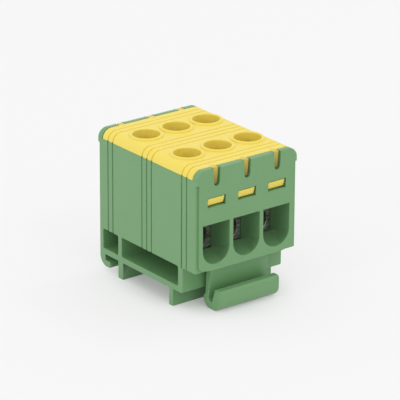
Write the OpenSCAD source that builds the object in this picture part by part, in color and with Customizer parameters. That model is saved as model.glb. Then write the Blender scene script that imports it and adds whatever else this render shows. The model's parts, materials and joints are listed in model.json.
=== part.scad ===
// Three-pole feed-through earth terminal block for a 35 mm top-hat rail.
// A one-piece moulded housing with a rail foot, a snap-on cover, three clamp bars and six clamp screws.
// The moulding comes as four nodes, cut where its floor, its ends and its walls meet.
// X runs along the rail, -Y is the latch side, +Z is up, and the block stands on z = 0.
// Modules work from the front face at y = 0; placed() then centres the block over its footprint.

/* [Poles] */
// Distance between neighbouring poles
pole_pitch = 10; // [9.6:0.1:14]
// Width of each wire entry
entry_w = 8.7; // [7.8:0.1:9]
// Wall between the cells of neighbouring poles
partition = 1; // [0.6:0.1:1.2]
// Side wall outside the outer cells
side_wall = 2.1; // [1.85:0.05:3.85]

/* [Housing] */
// Depth of the housing from front face to back face
depth = 43.3; // [42.5:0.1:52]
// Height of the underside of the housing above the floor
body_bottom = 12.1; // [11:0.1:16]
// Height of the front and back walls above the underside
wall_h = 28.4; // [27:0.1:36]
// Thickness of the front and back walls behind the cover
end_wall = 1.75; // [1.2:0.05:2.5]
// Thickness of the side walls above the cells
upper_wall = 1.6; // [1.2:0.05:1.9]
// Thickness of the floor under the terminal bars
floor_t = 1.5; // [1:0.1:3]
// Radius of the top corners of the end walls and of the side edges of the cover
edge_r = 2.7; // [1.5:0.1:3.5]
// Height of the side edges of the cover
edge_h = 2.65; // [2:0.05:3.4]
// Width of the rabbet down each corner
rabbet_w = 0.85; // [0.3:0.05:1.2]
// Depth of the rabbet down each corner
rabbet_d = 0.55; // [0.3:0.05:1]
// Height of the full-width ears above the rabbets
ear_h = 4; // [3.5:0.1:6]
// Length of the slope at the bottom corners of the end plates
corner_slope = 4; // [1:0.1:5]
// Rise of that slope
corner_rise = 0.75; // [0.2:0.05:1.2]

/* [Wire entries] */
// Height of the mouth of an entry above the cell floor
entry_sill = 0.25; // [0.2:0.05:1.5]
// Rise of the floor of an entry from its mouth to the terminal bar
entry_ramp = 1.35; // [0.2:0.05:1.6]
// Height of an entry
entry_h = 11.25; // [9.5:0.05:13]
// Depth of an entry from its mouth to the cell
entry_depth = 7.75; // [6.5:0.05:8]
// Plastic over an entry
entry_roof = 1.9; // [1:0.1:3]

/* [Latch windows and slots] */
// Width of a latch window
window_w = 5.8; // [4:0.1:7]
// Height of a latch window
window_h = 2.6; // [2:0.1:3.5]
// Height of a latch window above the entry roof
window_rise = 2.9; // [2:0.1:3.2]
// Width of a slot at the top of the wall
slot_top_w = 2.5; // [1.6:0.1:3]
// Width of a slot at its round bottom
slot_bottom_w = 1.8; // [1:0.1:2]
// Depth of a slot
slot_depth = 5; // [3:0.1:5.4]

/* [Grooves] */
// Width of a fine groove
groove_w = 0.4; // [0.2:0.05:0.6]
// Depth of a fine groove
groove_d = 0.4; // [0.1:0.05:0.5]
// Spacing of the grooves in a group
groove_pitch = 2.1; // [1.2:0.1:2.2]
// Distance of the outermost groove from the end faces
groove_inset = 4.36; // [3.5:0.02:4.6]

/* [Rail foot] */
// Width of the rail
rail_w = 35; // [34:0.5:36]
// Width of the channel inside the rail
rail_channel = 25; // [24:0.5:26]
// Height of the slot that takes the edge of the rail
rail_slot = 1.65; // [1.2:0.05:2.5]
// Height of the rail seat above the floor
seat_h = 4.85; // [4:0.05:6]
// Thickness of the bar over the rail seat
seat_bar = 1.65; // [1.2:0.05:3]
// Gap between the latch tongue and the front wall of the foot
foot_gap = 1; // [0.9:0.05:1.6]
// Thickness of the front wall of the foot
foot_wall = 2; // [1.2:0.1:3]
// Thickness of the leg next to the latch
front_leg = 1.7; // [1.2:0.1:3]
// Thickness of the leg next to the hook
back_leg = 2.2; // [1.5:0.1:3]
// Play between the leg next to the latch and the side of the rail channel
front_leg_play = 0.1; // [0.05:0.05:0.4]
// Play between the leg next to the hook and the side of the rail channel
back_leg_play = 0.5; // [0.1:0.1:0.8]
// Thickness of the post between the openings through the foot
post_t = 1.6; // [1.2:0.1:2.2]
// Play between the edge of the rail and the end of the hook slot
hook_play = 0.4; // [0.1:0.1:0.6]
// Plastic between the end of the hook slot and the back of the foot
hook_root = 2.35; // [1.8:0.05:3.6]
// Thickness of the hook lip
hook_lip = 1.8; // [1.2:0.1:2.2]
// Reach of the hook lip under the rail
hook_reach = 2.1; // [1.5:0.1:3]
// Radius of the outer lower corner of the hook
hook_r = 3; // [1:0.1:3.5]
// Thickness of the upright behind the hook
hook_wall = 1.45; // [1.2:0.05:2.2]
// Corner radius of the openings through the foot
foot_r = 0.5; // [0.2:0.1:1]
// Radius of the lower front corner of the foot
foot_front_r = 0.8; // [0.2:0.1:1.2]

/* [Rail latch] */
// Width of the latch tongue
latch_w = 19.6; // [12:0.2:28]
// Thickness of the latch tongue at its root
latch_t = 2; // [1.4:0.1:2.2]
// Thickness of the latch tongue behind the finger lip
latch_tip_t = 1.4; // [1.2:0.1:1.7]
// Play between the rail edge and the latch tongue
latch_play = 0.05; // [0.05:0.05:0.4]
// Lean of the tongue from its root to the rail
latch_lean = 0.4; // [0.1:0.1:0.6]
// Reach of the latch barb under the rail
barb_reach = 0.85; // [0.5:0.05:1]
// Height of the barb above the floor
barb_h = 3.4; // [3.3:0.1:3.8]
// Radius of the lower back corner under the barb
barb_r = 2.7; // [1:0.1:2.8]
// Reach of the finger lip in front of the front face
lip_reach = 1.7; // [1.2:0.1:3]
// Thickness of the finger lip at its tip
lip_t = 2.8; // [2.2:0.1:3]
// Growth of the finger lip from its tip to the web
lip_draft = 0.8; // [0.2:0.1:1]
// Height of the finger lip
lip_h = 6.2; // [5:0.1:8]
// Corner radius of the tip of the finger lip
lip_tip_r = 0.8; // [0.2:0.1:1]
// Thickness of the web that joins lip and tongue
lip_web = 2.1; // [1.6:0.1:2.8]
// Radius of the lower front corner of the lip
lip_r = 3.2; // [1:0.1:3.8]

/* [Cover] */
// Gap between the cover and the housing walls
cover_gap = 0.2; // [0.05:0.05:0.3]
// Thickness of the cover plate
plate_t = 1.6; // [1.2:0.1:2.2]
// Wall of the locating rim and of the snap tongues
rim_t = 1.3; // [1:0.1:1.6]
// Height of the locating rim inside the side walls
rim_h = 1.6; // [1:0.1:3]
// Diameter of the screw-access holes
access_d = 7.4; // [6.6:0.1:7.8]
// Distance of the screws from the ends of their bar
screw_inset = 4.4; // [4.1:0.1:4.9]
// Width of the collar round each access hole
collar_w = 0.85; // [0.4:0.05:0.9]
// Height of the collar
collar_h = 0.5; // [0.1:0.05:0.8]
// Wall of the chimneys under the access holes
chimney_wall = 0.7; // [0.5:0.05:0.8]
// Gap between the chimneys and the open screws
chimney_gap = 0.3; // [0.1:0.05:1]
// Width of a snap tongue
tongue_w = 8; // [7:0.1:9]
// Length of a snap tongue below its nose
tongue_tail = 0.9; // [0.5:0.1:1.2]
// Gap between a nose and its window
nose_gap = 0.2; // [0.05:0.05:0.3]
// Gap under a nose
nose_drop = 0.35; // [0.1:0.05:0.6]
// Distance of the top of a nose behind the front face
nose_recess = 0.2; // [0.1:0.05:0.6]
// Slope of a nose from its top to its bottom
nose_slope = 0.9; // [0.2:0.05:1.1]
// Distance of the ribs in the slots behind the front face
rib_recess = 1; // [0.4:0.05:1.4]
// Gap between a rib and its slot
rib_gap = 0.3; // [0.05:0.05:0.4]

/* [Terminal bars] */
// Gap between a bar and its cell on each side
bar_gap = 0.15; // [0.05:0.05:0.3]
// Gap between a bar and its cell at each end
bar_end_gap = 0.55; // [0.1:0.05:0.8]
// Height of a bar above the entry roof
bar_rise = 0.5; // [0.1:0.1:1.2]
// Diameter of the wire bore
bore_d = 6.5; // [4:0.1:6.7]
// Height of the wire bore above the ramp of the entry
bore_step = 0.1; // [0.05:0.05:0.5]
// Chamfer along the edges of a bar
bar_chamfer = 0.4; // [0.1:0.1:0.8]

/* [Clamp screws] */
// Diameter of a clamp screw
screw_d = 6; // [4:0.1:6.2]
// Length of a clamp screw
screw_l = 9; // [8:0.1:10]
// Radial gap between a screw and its hole
screw_gap = 0.05; // [0.02:0.01:0.1]
// Gap between an open screw and the wire bore
screw_lift = 0.1; // [0.05:0.05:1]
// Width across the flats of the hexagon socket
socket_af = 3; // [2:0.1:3.2]
// Depth of the hexagon socket
socket_depth = 3; // [2:0.1:4]
// Chamfer at both ends of a screw
screw_chamfer = 0.6; // [0.2:0.1:0.8]

/* [Hidden] */
$fn = 64;
poles = 3;
// Overlap of cuts that break through a face
cut = 1;
// Thickness of the first section of a blended cut
section = 0.01;

// Housing
cell_w = pole_pitch - partition;
half_w = (poles - 1) / 2 * pole_pitch + cell_w / 2 + side_wall;
plate_half_w = half_w - rabbet_w;
cavity_half_w = half_w - upper_wall;
wall_top = body_bottom + wall_h;
side_top = wall_top - edge_h;
ear_bottom = wall_top - ear_h;
cell_floor = body_bottom + floor_t;
entry_bottom = cell_floor + entry_sill;
entry_ramp_top = entry_bottom + entry_ramp;
entry_top = entry_bottom + entry_h;
deck = entry_top + entry_roof;
window_bottom = deck + window_rise;
window_top = window_bottom + window_h;
slot_floor = wall_top - slot_depth;
groove_rows = [
    groove_inset, groove_inset + groove_pitch,
    depth / 2 - groove_pitch, depth / 2, depth / 2 + groove_pitch,
    depth - groove_inset - groove_pitch, depth - groove_inset
];

// Rail foot, with the rail lying in its hook slot
foot_back = depth - rabbet_d;
slot_end = foot_back - hook_root;
rail_back = slot_end - hook_play;
rail_front = rail_back - rail_w;
channel_edge = (rail_w - rail_channel) / 2;
front_leg_y = rail_front + channel_edge + front_leg_play;
// Back of the post between the openings and of the leg under it
post_end = rail_back - channel_edge - back_leg_play;
slot_bottom_z = seat_h - rail_slot;
hook_bottom = slot_bottom_z - hook_lip;
hook_tip = rail_back - hook_reach;

// Rail latch
latch_back = rail_front - latch_play;
latch_root_back = latch_back - latch_lean;
lip_back = lip_t - lip_reach;
foot_front = latch_back + foot_gap;

// Cover
cover_front = end_wall + cover_gap;
cover_back = depth - cover_front;
rim_half_w = cavity_half_w - cover_gap;
hollow_half_w = rim_half_w - rim_t;
plate_under = wall_top - plate_t;

// Terminal bars
bar_half_w = cell_w / 2 - bar_gap;
bar_front = entry_depth + bar_end_gap;
bar_top = deck + bar_rise;
bore_axis = entry_ramp_top + bore_step + bore_d / 2;
screw_rows = [bar_front + screw_inset, depth - bar_front - screw_inset];

// Clamp screws, shown wound up to leave the wire bore open
screw_tip = bore_axis + bore_d / 2 + screw_lift;
screw_top = screw_tip + screw_l;

function pole_x(pole) = (pole - (poles - 1) / 2) * pole_pitch;

module placed() translate([0, -(depth - lip_reach) / 2, 0]) children();

module at_poles() {
    for (pole = [0 : poles - 1])
        translate([pole_x(pole), 0, 0]) children();
}

module both_ends() {
    children();
    translate([0, depth, 0]) mirror([0, 1, 0]) children();
}

module both_sides() {
    children();
    mirror([1, 0, 0]) children();
}

// A profile drawn in X and Z, drawn out from one depth to another
module along_y(from, to) {
    translate([0, to, 0]) rotate([90, 0, 0]) linear_extrude(to - from) children();
}

// A profile drawn in Y and Z, drawn out across the block
module along_x(half) {
    translate([-half, 0, 0]) rotate([90, 0, 90]) linear_extrude(2 * half) children();
}

module block(half, y0, y1, z0, z1) {
    translate([-half, y0, z0]) cube([2 * half, y1 - y0, z1 - z0]);
}

module rectangle(x0, x1, y0, y1) {
    translate([x0, y0]) square([x1 - x0, y1 - y0]);
}

module rounded_rectangle(x0, x1, y0, y1, r) {
    rectangle(x0 + r, x1 - r, y0, y1);
    rectangle(x0, x1, y0 + r, y1 - r);
    for (x = [x0 + r, x1 - r], y = [y0 + r, y1 - r])
        translate([x, y]) circle(r);
}

// Section across the top of the block, with rounded upper corners
module arch(half, bottom, top, r) {
    intersection() {
        rounded_rectangle(-half, half, bottom - 2 * r, top, r);
        rectangle(-half, half, bottom, top);
    }
}

module end_plate_profile() {
    polygon([
        [-plate_half_w + corner_slope, body_bottom],
        [plate_half_w - corner_slope, body_bottom],
        [plate_half_w, body_bottom + corner_rise],
        [plate_half_w, ear_bottom],
        [-plate_half_w, ear_bottom],
        [-plate_half_w, body_bottom + corner_rise]
    ]);
}

module wire_mouth_profile() {
    mouth_axis = entry_bottom + entry_w / 2;
    translate([0, mouth_axis]) circle(entry_w / 2, $fn = 32);
    rectangle(-entry_w / 2, entry_w / 2, mouth_axis, entry_top);
}

// A wire entry: a round-bottomed mouth that blends into the square end of the cell
module wire_entry() {
    hull() {
        along_y(-section, 0) wire_mouth_profile();
        along_y(entry_depth, entry_depth + cut)
            rectangle(-cell_w / 2, cell_w / 2, entry_ramp_top, entry_top);
    }
}

// A slot of an end wall, open above, less a gap all round
module slot_profile(gap) {
    slot_r = slot_bottom_w / 2 - gap;
    slot_half_w = slot_top_w / 2 - gap;
    slot_centre = slot_floor + slot_bottom_w / 2;
    slot_mouth = wall_top + cut;
    translate([0, slot_centre]) circle(slot_r);
    polygon([
        [-slot_r, slot_centre], [slot_r, slot_centre], [slot_half_w, slot_mouth], [-slot_half_w, slot_mouth]
    ]);
}

// Top of an end wall, full width
module ear_wall() {
    along_y(0, end_wall) arch(half_w, ear_bottom, wall_top, edge_r);
}

module housing_shell() {
    block(half_w, rabbet_d, depth - rabbet_d, body_bottom, side_top);
    along_y(0, depth) end_plate_profile();
    both_ends() ear_wall();
}

module housing_cuts() {
    block(cavity_half_w, end_wall, depth - end_wall, deck, wall_top + cut);
    at_poles() {
        block(cell_w / 2, entry_depth, depth - entry_depth, cell_floor, deck + cut);
        both_ends() {
            wire_entry();
            block(window_w / 2, -cut, end_wall + cut, window_bottom, window_top);
            along_y(-cut, end_wall + cut) slot_profile(0);
        }
    }
    for (y = groove_rows)
        both_sides() translate([half_w - groove_d, y - groove_w / 2, body_bottom])
            cube([groove_d + cut, groove_w, side_top - body_bottom + cut]);
}

module rail_foot_profile() {
    difference() {
        rounded_rectangle(foot_front, foot_back, seat_h, cell_floor, foot_front_r);
        rounded_rectangle(foot_front + foot_wall, post_end - post_t, seat_h + seat_bar, body_bottom, foot_r);
        rounded_rectangle(post_end, foot_back - hook_wall, seat_h + seat_bar, body_bottom, foot_r);
    }
    rectangle(front_leg_y, front_leg_y + front_leg, 0, seat_h + seat_bar / 2);
    rectangle(post_end - back_leg, post_end, 0, seat_h + seat_bar / 2);
    difference() {
        union() {
            rectangle(slot_end, foot_back, hook_bottom, seat_h + seat_bar);
            rectangle(hook_tip + hook_lip / 2, foot_back, hook_bottom, slot_bottom_z);
            translate([hook_tip + hook_lip / 2, hook_bottom + hook_lip / 2]) circle(hook_lip / 2);
        }
        difference() {
            rectangle(foot_back - hook_r, foot_back + cut, hook_bottom - cut, hook_bottom + hook_r);
            translate([foot_back - hook_r, hook_bottom + hook_r]) circle(hook_r);
        }
    }
}

// The springy tongue, its barb under the rail and the finger lip in front
module rail_latch_profile() {
    lip_r_y = lip_r - lip_reach;
    lip_root = lip_back + lip_draft;
    barb_tip = latch_back + barb_reach;
    tongue_front = latch_back - latch_tip_t;
    gap_r = (tongue_front - lip_root) / 2;
    gap_z = lip_web + gap_r;
    difference() {
        union() {
            polygon([
                [latch_root_back, body_bottom + floor_t / 2],
                [latch_back, barb_h + barb_reach / 2],
                [barb_tip, barb_h - barb_reach / 2],
                [barb_tip, barb_r],
                [barb_tip - barb_r, 0],
                [lip_r_y, 0],
                [-lip_reach, lip_r],
                [-lip_reach, lip_h - lip_tip_r],
                [lip_tip_r - lip_reach, lip_h],
                [lip_back - lip_tip_r, lip_h],
                [lip_back, lip_h - lip_tip_r],
                [lip_root, gap_z],
                [tongue_front, gap_z],
                [latch_root_back - latch_t, body_bottom + floor_t / 2]
            ]);
            intersection() {
                translate([lip_r_y, lip_r]) circle(lip_r);
                rectangle(-lip_reach, lip_r_y, 0, lip_r);
            }
            intersection() {
                translate([barb_tip - barb_r, barb_r]) circle(barb_r);
                rectangle(barb_tip - barb_r, barb_tip, 0, barb_r);
            }
            for (y = [lip_tip_r - lip_reach, lip_back - lip_tip_r])
                translate([y, lip_h - lip_tip_r]) circle(lip_tip_r);
        }
        translate([lip_root + gap_r, gap_z]) circle(gap_r);
    }
}

module moulding() {
    difference() {
        union() {
            housing_shell();
            along_x(half_w) rail_foot_profile();
            along_x(latch_w / 2) rail_latch_profile();
        }
        housing_cuts();
    }
}

// The part of the one-piece moulding between two depths and two heights
module housing_part(y0, y1, z0, z1) {
    color("#74a072") placed() intersection() {
        moulding();
        block(half_w + cut, y0, y1, z0, z1);
    }
}

// Floor under the bars, with the rail foot and the sprung latch
module housing_base() {
    housing_part(-lip_reach - cut, depth + cut, -cut, cell_floor);
}

// Front end with its wire entries
module housing_front() {
    housing_part(-cut, entry_depth, cell_floor, wall_top + cut);
}

// Back end with its wire entries
module housing_back() {
    housing_part(depth - entry_depth, depth + cut, cell_floor, wall_top + cut);
}

// Side walls and partitions between the ends
module housing_walls() {
    housing_part(entry_depth, depth - entry_depth, cell_floor, wall_top + cut);
}

module cover_cap() {
    difference() {
        along_y(cover_front, cover_back) arch(half_w, side_top, wall_top, edge_r);
        block(hollow_half_w, cover_front + rim_t, cover_back - rim_t, side_top - cut, plate_under);
        for (y = groove_rows)
            difference() {
                block(half_w + cut, y - groove_w / 2, y + groove_w / 2, side_top - cut, wall_top + cut);
                along_y(y - groove_w, y + groove_w)
                    arch(half_w - groove_d, side_top - 2 * cut, wall_top - groove_d, edge_r - groove_d);
            }
    }
}

module locating_rims() {
    both_sides() translate([hollow_half_w, cover_front + rim_t, side_top - rim_h])
        cube([rim_t, cover_back - cover_front - 2 * rim_t, rim_h + plate_t / 2]);
}

// A tongue behind the end wall, with a rib in the slot and a nose that catches in the latch window
module snap_tongue() {
    nose_top = window_top - nose_gap;
    nose_bottom = window_bottom + nose_drop;
    tongue_bottom = window_bottom - tongue_tail;
    root = cover_front + rim_t / 2;
    block(tongue_w / 2, cover_front, cover_front + rim_t, tongue_bottom, plate_under + plate_t / 2);
    along_y(rib_recess, root) intersection() {
        slot_profile(rib_gap);
        rectangle(-slot_top_w, slot_top_w, slot_floor, wall_top);
    }
    along_x(window_w / 2 - nose_gap) polygon([
        [root, nose_top],
        [nose_recess, nose_top],
        [nose_recess + nose_slope, nose_bottom],
        [root, nose_bottom]
    ]);
}

module cover() {
    chimney_r = access_d / 2 + chimney_wall;
    chimney_bottom = screw_top + chimney_gap;
    color("#f2d862") placed() difference() {
        union() {
            cover_cap();
            locating_rims();
            at_poles() {
                both_ends() snap_tongue();
                for (y = screw_rows) translate([0, y, 0]) {
                    translate([0, 0, chimney_bottom])
                        cylinder(h = plate_under + plate_t / 2 - chimney_bottom, r = chimney_r);
                    translate([0, 0, plate_under + plate_t / 2])
                        cylinder(h = plate_t / 2 + collar_h, r = access_d / 2 + collar_w);
                }
            }
        }
        at_poles() for (y = screw_rows) translate([0, y, chimney_bottom - cut])
            cylinder(h = wall_top + collar_h - chimney_bottom + 2 * cut, d = access_d);
    }
}

module bar_profile() {
    w = bar_half_w;
    c = bar_chamfer;
    polygon([
        [-w + c, cell_floor], [w - c, cell_floor], [w, cell_floor + c], [w, bar_top - c],
        [w - c, bar_top], [-w + c, bar_top], [-w, bar_top - c], [-w, cell_floor + c]
    ]);
}

module terminal_bar(pole) {
    color("#8d8f90") placed() translate([pole_x(pole), 0, 0]) difference() {
        along_y(bar_front, depth - bar_front) bar_profile();
        translate([0, bar_front - cut, bore_axis]) rotate([-90, 0, 0])
            cylinder(h = depth - 2 * bar_front + 2 * cut, d = bore_d);
        for (y = screw_rows) translate([0, y, bore_axis])
            cylinder(h = bar_top - bore_axis + cut, r = screw_d / 2 + screw_gap);
    }
}

module clamp_screw(pole, row) {
    r = screw_d / 2;
    c = screw_chamfer;
    color("#b9bcc0") placed() translate([pole_x(pole), screw_rows[row], screw_tip]) difference() {
        rotate_extrude() polygon([
            [0, 0], [r - c, 0], [r, c], [r, screw_l - c], [r - c, screw_l], [0, screw_l]
        ]);
        translate([0, 0, screw_l - socket_depth])
            cylinder(h = socket_depth + cut, d = socket_af / cos(30), $fn = 6);
    }
}

housing_base();
housing_front();
housing_back();
housing_walls();
cover();
terminal_bar(0);  // terminal_bar_1
terminal_bar(1);  // terminal_bar_2
terminal_bar(2);  // terminal_bar_3
clamp_screw(0, 0);  // clamp_screw_front_1
clamp_screw(1, 0);  // clamp_screw_front_2
clamp_screw(2, 0);  // clamp_screw_front_3
clamp_screw(0, 1);  // clamp_screw_back_1
clamp_screw(1, 1);  // clamp_screw_back_2
clamp_screw(2, 1);  // clamp_screw_back_3
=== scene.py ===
import json
import math

import bmesh
import bpy
from mathutils import Matrix, Vector


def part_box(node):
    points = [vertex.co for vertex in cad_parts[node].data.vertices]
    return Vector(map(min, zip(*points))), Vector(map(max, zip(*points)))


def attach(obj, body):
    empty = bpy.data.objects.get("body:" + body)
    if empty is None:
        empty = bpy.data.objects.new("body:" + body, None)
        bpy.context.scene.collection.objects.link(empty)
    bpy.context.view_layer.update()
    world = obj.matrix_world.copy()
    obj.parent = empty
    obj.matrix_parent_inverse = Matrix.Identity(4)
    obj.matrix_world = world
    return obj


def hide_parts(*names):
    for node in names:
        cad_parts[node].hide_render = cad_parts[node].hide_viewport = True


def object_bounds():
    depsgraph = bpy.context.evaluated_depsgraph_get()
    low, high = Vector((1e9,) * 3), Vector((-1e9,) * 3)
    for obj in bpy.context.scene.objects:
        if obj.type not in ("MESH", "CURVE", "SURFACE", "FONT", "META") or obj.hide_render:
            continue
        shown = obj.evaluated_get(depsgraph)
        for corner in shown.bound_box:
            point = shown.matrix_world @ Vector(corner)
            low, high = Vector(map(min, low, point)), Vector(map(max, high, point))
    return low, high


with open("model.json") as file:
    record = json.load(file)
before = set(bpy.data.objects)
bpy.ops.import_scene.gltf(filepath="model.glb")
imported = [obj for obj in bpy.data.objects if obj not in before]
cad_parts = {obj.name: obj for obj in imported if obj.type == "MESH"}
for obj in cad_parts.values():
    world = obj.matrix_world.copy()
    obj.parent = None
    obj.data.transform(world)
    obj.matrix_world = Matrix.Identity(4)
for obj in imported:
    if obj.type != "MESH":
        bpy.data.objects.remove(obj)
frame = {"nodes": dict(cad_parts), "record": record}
cad_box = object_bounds()
record = frame["record"]


# Housing
# One piece of green nylon, injection moulded, with the wire entries, the rail foot and the sprung latch.
# It carries everything else. The mould leaves every outer edge slightly round and the walls finely grained.
# Lengths are in millimetres up to in_metres(), and shares are multiples of EDGE_RADIUS.

MM = 0.001
WELD = 0.001
CUT_SLACK = 0.0001
TINY = 0.01
EDGE_RADIUS = 0.5
PLAIN_SHARE = 0.3
SLOT_SHARE = 0.2
MOUTH_SHARE = 0.6
TOP_SHARE = 1.6
EAR_RADIUS = 2.7
SLOT_END = -1.5
MOUTH_ZONE = (12.5, 27.5)
MOUTH_REACH = 4.7
TUNNEL_MIDDLES = (-0.4, 17.4)
PLATE_CORNER = (15.75, 12.85)
PLATE_CORNER_RADIUS = 1.2
POLE_X = [mount["pos_m"][0] / MM for mount in record["mounts"] if mount["kind"] == "clamp"]
GREEN = (0.156, 0.334, 0.142)
GREEN_PALE = (0.175, 0.36, 0.16)


def pick(piece):
    """Makes one piece the only selected one."""
    bpy.ops.object.select_all(action="DESELECT")
    piece.select_set(True)
    bpy.context.view_layer.objects.active = piece


def apply_modifier(piece, kind, **settings):
    """Adds a modifier, sets it and applies it."""
    pick(piece)
    bpy.ops.object.modifier_add(type=kind)
    modifier = piece.modifiers[-1]
    for name, value in settings.items():
        setattr(modifier, name, value)
    bpy.ops.object.modifier_apply(modifier=modifier.name)


def welded_copy(node, name):
    """A copy of a CAD node's mesh in millimetres, with its loose triangles merged into whole faces."""
    piece = bpy.data.objects.new(name, frame["nodes"][node].data.copy())
    bpy.context.scene.collection.objects.link(piece)
    piece.data.materials.clear()
    piece.data.transform(Matrix.Scale(1 / MM, 4))
    pick(piece)
    bpy.ops.object.mode_set(mode="EDIT")
    bpy.ops.mesh.select_all(action="SELECT")
    bpy.ops.mesh.remove_doubles(threshold=WELD)
    bpy.ops.mesh.select_all(action="SELECT")
    bpy.ops.mesh.dissolve_limited(angle_limit=math.radians(0.2))
    bpy.ops.object.mode_set(mode="OBJECT")
    return piece


def unite(piece, others):
    """Unites a piece with others that touch it."""
    for other in others:
        apply_modifier(piece, "BOOLEAN", operation="UNION", solver="EXACT", object=other)
        bpy.data.objects.remove(other)


def planes_across(axis, places):
    """Planes across an axis, each as a point and a normal."""
    normal = [0, 0, 0]
    normal[axis] = 1
    return [([place * part for part in normal], normal) for place in places]


def cut_faces(piece, planes):
    """Splits the faces along planes through the openings, so that no flat face goes round a hole."""
    pick(piece)
    bpy.ops.object.mode_set(mode="EDIT")
    for point, normal in planes:
        bpy.ops.mesh.select_all(action="SELECT")
        bpy.ops.mesh.bisect(plane_co=point, plane_no=normal, threshold=CUT_SLACK)
        bpy.ops.mesh.mark_seam()
    bpy.ops.mesh.select_all(action="SELECT")
    bpy.ops.mesh.dissolve_limited(angle_limit=math.radians(0.3), delimit={"SEAM"})
    bpy.ops.object.mode_set(mode="OBJECT")


def bevel_edges(piece, wanted, offset, segments):
    """Bevels the edges that a test picks out."""
    pick(piece)
    bpy.ops.object.mode_set(mode="EDIT")
    bpy.ops.mesh.select_mode(type="EDGE")
    bpy.ops.mesh.select_all(action="DESELECT")
    mesh = bmesh.from_edit_mesh(piece.data)
    for edge in mesh.edges:
        if wanted(edge):
            edge.select = True
    bmesh.update_edit_mesh(piece.data)
    bpy.ops.mesh.bevel(offset=offset, segments=segments, affect="EDGES")
    bpy.ops.mesh.select_mode(type="VERT")
    bpy.ops.object.mode_set(mode="OBJECT")


def at_plate_corner(edge):
    """Whether an edge is a lower corner of an end plate."""
    return all(math.dist((abs(vertex.co.x), vertex.co.z), PLATE_CORNER) < 2 * TINY for vertex in edge.verts)


def round_edges(piece, radius, share):
    """Rounds the outer edges, each to its share of the radius. Inner corners stay sharp."""
    mesh = bmesh.new()
    mesh.from_mesh(piece.data)
    weight = mesh.edges.layers.float.new("bevel_weight_edge")
    for edge in mesh.edges:
        sharp = edge.calc_face_angle() > math.radians(30)
        if sharp and edge.is_convex:
            edge[weight] = share(edge)
        edge.smooth = edge.is_convex or not sharp
    for face in mesh.faces:
        face.smooth = True
    mesh.to_mesh(piece.data)
    mesh.free()
    apply_modifier(
        piece, "BEVEL", width=radius, segments=3, limit_method="WEIGHT",
        use_clamp_overlap=False, harden_normals=True,
    )
    apply_modifier(piece, "WEIGHTED_NORMAL", keep_sharp=True, weight=80)


def housing_share(edge):
    """Slots have the crispest edges; entry mouths and the tops of the end walls are the roundest."""
    middle = (edge.verts[0].co + edge.verts[1].co) / 2
    along = (edge.verts[1].co - edge.verts[0].co).normalized()
    on_end_face = min(middle.y - housing_low.y, housing_high.y - middle.y) < TINY
    rise = (middle.z - housing_high.z + EAR_RADIUS) / EAR_RADIUS
    on_top = rise > 0.9 and abs(along.x) > 0.9
    if rise > SLOT_END and abs(middle.x) < housing_high.x - EAR_RADIUS and not on_top:
        return SLOT_SHARE
    if on_end_face and rise > 0:
        return PLAIN_SHARE + (TOP_SHARE - PLAIN_SHARE) * rise ** 4
    beside_pole = min(abs(middle.x - x) for x in POLE_X)
    at_mouth = on_end_face and MOUTH_ZONE[0] < middle.z < MOUTH_ZONE[1] and beside_pole < MOUTH_REACH
    return MOUTH_SHARE if at_mouth else PLAIN_SHARE


def in_metres(piece):
    """Brings a mesh that was made in millimetres to metres."""
    piece.data.transform(Matrix.Scale(MM, 4))


class Wire:
    """A shader output that works in Python arithmetic: each operator adds a Math node."""

    def __init__(self, tree, socket):
        self.tree = tree
        self.socket = socket

    def node(self, kind, settings=None, inputs=None, output=0):
        """Adds a node, sets its settings and then its sockets, and gives one of its outputs."""
        made = self.tree.nodes.new(kind)
        for name, value in (settings or {}).items():
            setattr(made, name, value)
        for name, value in (inputs or {}).items():
            if isinstance(value, Wire):
                self.tree.links.new(value.socket, made.inputs[name])
            else:
                made.inputs[name].default_value = value
        return Wire(self.tree, made.outputs[output])

    def math(self, operation, first, second):
        """A Math node on two values or outputs."""
        return self.node("ShaderNodeMath", {"operation": operation}, {0: first, 1: second})

    def mix(self, first, second):
        """A colour that goes from the first to the second with this value."""
        colours = {6: first, 7: second}
        colours = {at: c if isinstance(c, Wire) else (*c, 1) for at, c in colours.items()}
        return self.node("ShaderNodeMix", {"data_type": "RGBA"}, {0: self, **colours}, output=2)

    def __add__(self, other):
        return self.math("ADD", self, other)

    def __sub__(self, other):
        return self.math("SUBTRACT", self, other)

    def __mul__(self, other):
        return self.math("MULTIPLY", self, other)

    __radd__ = __add__
    __rmul__ = __mul__


def new_material(name):
    """An empty material with its object coordinates and its shader."""
    material = bpy.data.materials.new(name)
    material.use_nodes = True
    tree = material.node_tree
    place = Wire(tree, tree.nodes.new("ShaderNodeTexCoord").outputs["Object"])
    return material, place, tree.nodes["Principled BSDF"]


def connect(shader, **sockets):
    """Sets the shader's sockets; underscores in the names stand for spaces."""
    for name, value in sockets.items():
        socket = shader.inputs[name.replace("_", " ")]
        if isinstance(value, Wire):
            value.tree.links.new(value.socket, socket)
        else:
            socket.default_value = value


def noise(place, size, detail=2.0, stretch=(1, 1, 1)):
    """Noise with features of a given size in millimetres."""
    spot = place.node("ShaderNodeMapping", {"vector_type": "POINT"}, {"Vector": place, "Scale": stretch})
    inputs = {"Vector": spot, "Scale": 1 / (size * MM), "Detail": detail}
    return place.node("ShaderNodeTexNoise", None, inputs)


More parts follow.
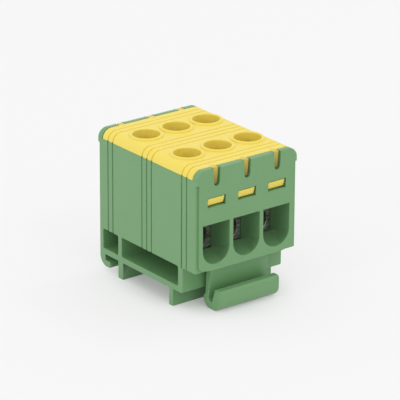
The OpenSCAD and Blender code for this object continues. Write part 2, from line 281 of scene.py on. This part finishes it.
def moulded_plastic(name, colour, pale, painted_shade, roughness):
    """Satin plastic with the grain of the mould, faint flow marks and slow changes of shade.

    Where the mesh's attribute "depth" rises, it goes over to a painted shade colour.
    """
    material, place, shader = new_material(name)
    cloud = noise(place, 9, detail=3)
    flow = noise(place, 2.5, detail=2, stretch=(1, 1, 0.12))
    grain = noise(place, 0.16, detail=3)
    shade = cloud * 0.6 + flow * 0.25 + grain * 0.15
    height = grain * 0.7 + flow * 0.3
    bump = place.node("ShaderNodeBump", None, {"Strength": 0.18, "Distance": 0.05 * MM, "Height": height})
    # The depth attribute carries painted shade, not a colour of the plastic.
    depth = place.node("ShaderNodeAttribute", {"attribute_name": "depth"}, output="Fac")
    connect(
        shader, Base_Color=depth.mix(shade.mix(colour, pale), painted_shade),
        Roughness=roughness + 0.12 * (grain - 0.5) + 0.1 * (cloud - 0.5), Normal=bump,
    )
    return material


housing_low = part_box("housing_front")[0] / MM
housing_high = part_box("housing_back")[1] / MM
housing = welded_copy("housing_base", "housing_moulding")
unite(housing, [welded_copy(f"housing_{part}", f"{part}_copy") for part in ("front", "back", "walls")])
cut_faces(housing, planes_across(0, POLE_X) + planes_across(1, TUNNEL_MIDDLES))
bevel_edges(housing, at_plate_corner, PLATE_CORNER_RADIUS, segments=6)
round_edges(housing, EDGE_RADIUS, housing_share)
in_metres(housing)
housing.data.materials.append(moulded_plastic("green_plastic", GREEN, GREEN_PALE, GREEN, roughness=0.3))
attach(housing, "block")
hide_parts("housing_base", "housing_front", "housing_back", "housing_walls")


# Terminal bars
# Three bars of aluminium, sawn from drawn stock. Each is drilled through for the wire and tapped from
# above for its two screws. They lie in the cells of the housing with a little play.

BAR_CHAMFER = 0.4
DRILL_STEP = 0.3
DRILL_MARK = 0.05
BORE_CHAMFER = 0.15
HOLE_R = 3.05
HOLE_SINK = 0.3
METAL = (0.75, 0.72, 0.68)
METAL_DARK = (0.16, 0.14, 0.12)


def lathe(name, profile, centre, axis):
    """A turned body: an outline of radii and places along an axis, spun round that axis."""
    along = Vector(axis)
    out = Vector((1, 0, 0))
    mesh = bpy.data.meshes.new(name)
    points = [Vector(centre) + out * radius + along * place for radius, place in profile]
    mesh.from_pydata(points, [(at, at + 1) for at in range(len(points) - 1)], [])
    piece = bpy.data.objects.new(name, mesh)
    bpy.context.scene.collection.objects.link(piece)
    pick(piece)
    bpy.ops.object.mode_set(mode="EDIT")
    bpy.ops.mesh.select_all(action="SELECT")
    bpy.ops.mesh.spin(steps=64, angle=2 * math.pi, center=centre, axis=axis)
    bpy.ops.mesh.select_all(action="SELECT")
    bpy.ops.mesh.remove_doubles(threshold=WELD)
    bpy.ops.mesh.select_all(action="SELECT")
    bpy.ops.mesh.normals_make_consistent(inside=False)
    bpy.ops.object.mode_set(mode="OBJECT")
    return piece


def cut_away(piece, tool):
    """Takes a tool's shape out of a piece."""
    apply_modifier(piece, "BOOLEAN", operation="DIFFERENCE", solver="EXACT", object=tool)
    bpy.data.objects.remove(tool)


bar_low, bar_high = (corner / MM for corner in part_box("terminal_bar_1"))
bar_size = bar_high - bar_low
bore = next(mount for mount in record["mounts"] if mount["name"] == "wire_bore_1")
bore_r = bore["dims"]["r_mm"]
bore_z = bore["pos_m"][2] / MM
screw_ys = [sum(corner.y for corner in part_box(f"clamp_screw_{row}_1")) / 2 / MM for row in ("front", "back")]

bpy.ops.object.select_all(action="DESELECT")
bpy.ops.mesh.primitive_cube_add(size=1, location=(bar_low + bar_high) / 2, scale=bar_size)
bar = bpy.context.object
bpy.ops.object.transform_apply(location=True, rotation=False, scale=True)
bevel_edges(
    bar, lambda edge: abs(edge.verts[0].co.y - edge.verts[1].co.y) > bar_size.y / 2, BAR_CHAMFER, segments=1,
)

drill_start = bar_low.y - DRILL_STEP
drill_steps = range(int(bar_size.y / DRILL_STEP) + 4)
drill_profile = [(bore_r + DRILL_MARK * (step % 2), drill_start + step * DRILL_STEP) for step in drill_steps]
drill_profile = [(0, drill_profile[0][1]), *drill_profile, (0, drill_profile[-1][1])]
cut_away(bar, lathe("drill", drill_profile, (POLE_X[0], 0, bore_z), (0, 1, 0)))
for end, inward in ((bar_low.y, 1), (bar_high.y, -1)):
    mouth_profile = [
        (0, end - inward), (bore_r + BORE_CHAMFER + 1, end - inward), (bore_r, end + inward * BORE_CHAMFER),
        (0, end + inward * BORE_CHAMFER),
    ]
    cut_away(bar, lathe("countersink", mouth_profile, (POLE_X[0], 0, bore_z), (0, 1, 0)))
for y in screw_ys:
    tap_profile = [
        (0, bore_z), (HOLE_R, bore_z), (HOLE_R, bar_high.z - HOLE_SINK),
        (HOLE_R + 2 * HOLE_SINK, bar_high.z + HOLE_SINK), (0, bar_high.z + HOLE_SINK),
    ]
    cut_away(bar, lathe("tap", tap_profile, (POLE_X[0], y, 0), (0, 0, 1)))
cut_faces(bar, planes_across(0, POLE_X[:1]) + planes_across(2, [bore_z]) + planes_across(1, screw_ys))
bpy.ops.object.shade_smooth_by_angle(angle=math.radians(25))


def cut_metal(name, colour, dark, roughness, relief):
    """Metal with the fine lines of the saw across it, pits and dull, darker patches."""
    material, place, shader = new_material(name)
    lines = noise(place, 0.12, detail=2, stretch=(0.04, 1, 1))
    patch = noise(place, 0.7, detail=3, stretch=(0.25, 1, 1))
    pits = noise(place, 0.35, detail=2)
    height = lines * 0.4 + pits * 0.6
    bump = place.node("ShaderNodeBump", None, {"Strength": 0.8, "Distance": relief * MM, "Height": height})
    connect(
        shader, Base_Color=(patch * 3 - 1).mix(colour, dark), Metallic=0.9,
        Roughness=roughness + 0.25 * (patch - 0.5) + 0.1 * (lines - 0.5), Normal=bump,
    )
    return material


bar.data.materials.append(cut_metal("bar_metal", METAL, METAL_DARK, roughness=0.3, relief=0.2))
in_metres(bar)
for pole, x in enumerate(POLE_X, 1):
    piece = bpy.data.objects.new(f"drilled_bar_{pole}", bar.data.copy())
    bpy.context.scene.collection.objects.link(piece)
    piece.data.transform(Matrix.Translation(((x - POLE_X[0]) * MM, 0, 0)))
    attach(piece, "block")
    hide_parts(f"terminal_bar_{pole}")
bpy.data.objects.remove(bar)


# Clamp screws
# Six set screws of zinc-plated steel with a rolled thread and a hexagon socket. They are wound down through
# the bar onto the wire, and are shown wound up.

THREAD_PITCH = 1.0
THREAD_DEPTH = 0.55
FLANK_UP = (0.15, 0.45)
FLANK_DOWN = (0.6, 0.9)
THREAD_SPARE = 0.3
SCREW_CHAMFER = 0.6
SOCKET_AF = 3.0
SOCKET_DEPTH = 3.0
SOCKET_CONE = 0.6
SINK_DEPTH = 0.25
SINK_SPARE = 0.1
STEEL = (0.62, 0.63, 0.64)
STEEL_DARK = (0.42, 0.42, 0.41)

screw_low, screw_high = (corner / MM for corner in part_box("clamp_screw_front_1"))
screw_r = (screw_high.x - screw_low.x) / 2
screw_x, screw_y, _ = (screw_low + screw_high) / 2
root_r = screw_r - THREAD_DEPTH

turn = bpy.data.meshes.new("thread")
flank = [
    (root_r, 0), (root_r, FLANK_UP[0]), (screw_r, FLANK_UP[1]),
    (screw_r, FLANK_DOWN[0]), (root_r, FLANK_DOWN[1]), (root_r, THREAD_PITCH),
]
turn.from_pydata([(radius, 0, z) for radius, z in flank], [(at, at + 1) for at in range(len(flank) - 1)], [])
screw = bpy.data.objects.new("screw", turn)
bpy.context.scene.collection.objects.link(screw)
turns = int((screw_high.z - screw_low.z) / THREAD_PITCH) + 4
apply_modifier(
    screw, "SCREW", axis="Z", angle=2 * math.pi, screw_offset=THREAD_PITCH, iterations=turns, steps=40,
    use_merge_vertices=True, merge_threshold=WELD,
)
screw.data.transform(Matrix.Translation((screw_x, screw_y, screw_low.z - 2 * THREAD_PITCH)))
pick(screw)
bpy.ops.object.mode_set(mode="EDIT")
for z, keep_above in ((screw_low.z - THREAD_SPARE, True), (screw_high.z + THREAD_SPARE, False)):
    bpy.ops.mesh.select_all(action="SELECT")
    bpy.ops.mesh.bisect(
        plane_co=(0, 0, z), plane_no=(0, 0, 1), use_fill=True, threshold=CUT_SLACK,
        clear_inner=keep_above, clear_outer=not keep_above,
    )
bpy.ops.mesh.select_all(action="SELECT")
bpy.ops.mesh.normals_make_consistent(inside=False)
bpy.ops.object.mode_set(mode="OBJECT")

blank_profile = [
    (0, screw_low.z), (screw_r - SCREW_CHAMFER, screw_low.z), (screw_r, screw_low.z + SCREW_CHAMFER),
    (screw_r, screw_high.z - SCREW_CHAMFER), (screw_r - SCREW_CHAMFER, screw_high.z), (0, screw_high.z),
]
blank = lathe("blank", blank_profile, (screw_x, screw_y, 0), (0, 0, 1))
apply_modifier(screw, "BOOLEAN", operation="INTERSECT", solver="EXACT", object=blank)
bpy.data.objects.remove(blank)

socket_r = SOCKET_AF / 2 / math.cos(math.radians(30))
bpy.ops.mesh.primitive_cylinder_add(
    vertices=6, radius=socket_r, depth=SOCKET_DEPTH + 1, end_fill_type="TRIFAN",
    location=(screw_x, screw_y, screw_high.z + (1 - SOCKET_DEPTH) / 2),
)
socket = bpy.context.object
bpy.ops.object.transform_apply(location=True, rotation=True, scale=True)
screw_axis = Vector((screw_x, screw_y))
low_middle = min(socket.data.vertices, key=lambda vertex: vertex.co.z + (vertex.co.xy - screw_axis).length)
low_middle.co.z -= SOCKET_CONE
cut_away(screw, socket)
sink_profile = [
    (0, screw_high.z - SINK_DEPTH), (socket_r - SINK_SPARE, screw_high.z - SINK_DEPTH),
    (socket_r + SINK_DEPTH, screw_high.z + SINK_SPARE), (0, screw_high.z + SINK_SPARE),
]
cut_away(screw, lathe("sink", sink_profile, (screw_x, screw_y, 0), (0, 0, 1)))
pick(screw)
bpy.ops.object.shade_smooth_by_angle(angle=math.radians(20))
screw.data.materials.append(cut_metal("screw_steel", STEEL, STEEL_DARK, roughness=0.3, relief=0.02))
in_metres(screw)
for row, y in zip(("front", "back"), screw_ys):
    for pole, x in enumerate(POLE_X, 1):
        piece = bpy.data.objects.new(f"set_screw_{row}_{pole}", screw.data.copy())
        bpy.context.scene.collection.objects.link(piece)
        piece.data.transform(Matrix.Translation(((x - screw_x) * MM, (y - screw_y) * MM, 0)))
        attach(piece, f"screw_{row}_{pole}")
        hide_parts(f"clamp_screw_{row}_{pole}")
bpy.data.objects.remove(screw)


# Cover
# A shallow lid of yellow nylon, moulded with six guides for the key and six snap tongues.
# It is pressed onto the housing until the noses of the tongues click into the windows of the end walls.

YELLOW = (0.875, 0.695, 0.103)
YELLOW_PALE = (0.905, 0.74, 0.128)
# Painted shade for the ribs in the end-wall slots, a dark brown.
RIB_PAINTED_SHADE = (0.25, 0.185, 0.025)
LID_INSET = 1.95
LID_HEIGHT = 3.15
COLLAR_SHARE = 0.6
GROOVE_SHARE = 0.5
LID_END_SHARE = 0.7
COVER_SHARE = 0.25
COLLAR_HEIGHT = 0.1
GROOVE_LIMIT = 0.45
LID_MARGIN = 0.3
RIB_DROP = 3
RIB_REACH = 0.4
# How much of the ribs' painted shade they get at their tops.
RIB_SHADE_START = 0.35
NOSE_REACH = 0.3
cover_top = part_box("cover")[1].z / MM
lid_front = housing_low.y + LID_INSET
lid_back = housing_high.y - LID_INSET
lid_bottom = cover_top - LID_HEIGHT


def cover_share(edge):
    """The collars are beads, and the grooves and the lid's ends are softer than its other edges."""
    middle = (edge.verts[0].co + edge.verts[1].co) / 2
    if middle.z > cover_top - COLLAR_HEIGHT:
        return COLLAR_SHARE
    for face in edge.link_faces:
        narrow = 2 * face.calc_area() / face.calc_perimeter() < GROOVE_LIMIT
        if narrow and abs(face.normal.y) > 0.99:
            return GROOVE_SHARE
    off_end = min(abs(middle.y - lid_front), abs(middle.y - lid_back))
    at_lid_end = off_end < TINY and middle.z > lid_bottom + TINY
    return LID_END_SHARE if at_lid_end else COVER_SHARE


cover = welded_copy("cover", "cover_moulding")
cut_faces(cover, planes_across(0, POLE_X) + planes_across(1, screw_ys))
round_edges(cover, EDGE_RADIUS, cover_share)

# The ribs and noses lie in the end walls. They come a little forward, and the ribs get a dark brown painted
# shade for the shade of the slots, deepening towards their lower ends.
depth = cover.data.attributes.new("depth", "FLOAT", "POINT")
in_lid = (lid_front - LID_MARGIN, lid_back + LID_MARGIN)
in_end_walls = [vertex for vertex in cover.data.vertices if not in_lid[0] < vertex.co.y < in_lid[1]]
nose_heights = [vertex.co.z for vertex in in_end_walls if vertex.co.z < lid_bottom - RIB_DROP]
nose_top, nose_bottom = max(nose_heights), min(nose_heights)
for vertex in in_end_walls:
    if vertex.co.z < lid_bottom - RIB_DROP:
        reach = NOSE_REACH * (nose_top - vertex.co.z) / (nose_top - nose_bottom)
    else:
        reach = RIB_REACH
        depth.data[vertex.index].value = min(1, RIB_SHADE_START + (cover_top - vertex.co.z) / RIB_DROP / 2)
    vertex.co.y += math.copysign(reach, vertex.co.y)
in_metres(cover)
cover.data.materials.append(moulded_plastic("yellow_plastic", YELLOW, YELLOW_PALE, RIB_PAINTED_SHADE, roughness=0.42))
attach(cover, "block")
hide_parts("cover")


# Studio
# A pale sheet as the floor, three soft lamps and an even pale surround. To the camera and in reflections
# the sheet also glows, less so near the block, where its shadow lies. The camera stands where the photo was
# taken from.

CAMERA_PLACE = Vector((-446.6, -579.51, 306.25)) * MM
CAMERA_AZIMUTH = 37.652
CAMERA_ELEVATION = 21.176
CAMERA_ROLL = 0.301
CAMERA_LENS = 265.03
FLOOR_SIZE = 8
PAPER = (0.8, 0.8, 0.8, 1)
WHITE = (1, 1, 1, 1)
GLOW_RANGE = (0.8, 1.45)
GLOW_SHARES = (0.25, 0.62)
SURROUND = 0.92
LAMP_AIM = Vector((0, 0, 0.02))

bpy.ops.object.select_all(action="DESELECT")
bpy.ops.mesh.primitive_plane_add(size=FLOOR_SIZE)
floor = bpy.context.object
floor.name = "floor"
floor_material, floor_place, floor_shader = new_material("floor_paper")
connect(floor_shader, Base_Color=PAPER, Roughness=0.9)
seen = floor_place.node("ShaderNodeLightPath", output="Is Camera Ray")
mirrored = floor_place.node("ShaderNodeLightPath", output="Is Glossy Ray")
footprint = Vector(cad_box[1])
scaled = floor_place.node(
    "ShaderNodeMapping", None, {"Vector": floor_place, "Scale": (1 / footprint.x, 1 / footprint.y, 0)}
)
distance = floor_place.node("ShaderNodeVectorMath", {"operation": "LENGTH"}, {0: scaled}, output="Value")
glow = floor_place.node(
    "ShaderNodeMapRange", {"interpolation_type": "SMOOTHSTEP"},
    {
        "Value": distance, "From Min": GLOW_RANGE[0], "From Max": GLOW_RANGE[1],
        "To Min": GLOW_SHARES[0], "To Max": GLOW_SHARES[1],
    },
)
shaded = Wire(floor_place.tree, floor_shader.outputs[0])
glowing = floor_place.node("ShaderNodeEmission", None, {"Color": WHITE, "Strength": 1.0})
sheet = floor_place.node("ShaderNodeMixShader", None, {0: glow * (seen + mirrored), 1: shaded, 2: glowing})
connect(floor_place.tree.nodes["Material Output"], Surface=sheet)
floor.data.materials.append(floor_material)

world = bpy.data.worlds.new("surround")
bpy.context.scene.world = world
world.use_nodes = True
connect(world.node_tree.nodes["Background"], Color=WHITE, Strength=SURROUND)


def soft_light(name, size, watts, place):
    """A round soft box that faces the block."""
    lamp = bpy.data.lights.new(name, "AREA")
    lamp.shape = "DISK"
    lamp.size = size
    lamp.energy = watts
    box = bpy.data.objects.new(name, lamp)
    bpy.context.scene.collection.objects.link(box)
    box.location = place
    box.rotation_euler = (LAMP_AIM - box.location).to_track_quat("-Z", "Y").to_euler()


soft_light("left_light", size=0.25, watts=0.75, place=(-0.85, -0.05, 0.35))
soft_light("right_light", size=0.15, watts=0.42, place=(0.5, 0.05, 0.72))
soft_light("front_light", size=0.25, watts=0.65, place=(0, -0.7, 0.65))

camera_data = bpy.data.cameras.new("camera")
camera_data.lens = CAMERA_LENS
camera_data.clip_start = 0.05
camera = bpy.data.objects.new("camera", camera_data)
bpy.context.scene.collection.objects.link(camera)
camera.matrix_world = (
    Matrix.Translation(CAMERA_PLACE)
    @ Matrix.Rotation(math.radians(-CAMERA_AZIMUTH), 4, "Z")
    @ Matrix.Rotation(math.radians(90 - CAMERA_ELEVATION), 4, "X")
    @ Matrix.Rotation(math.radians(CAMERA_ROLL), 4, "Z")
)
bpy.context.scene.camera = camera
bpy.context.scene.view_settings.view_transform = "Standard"
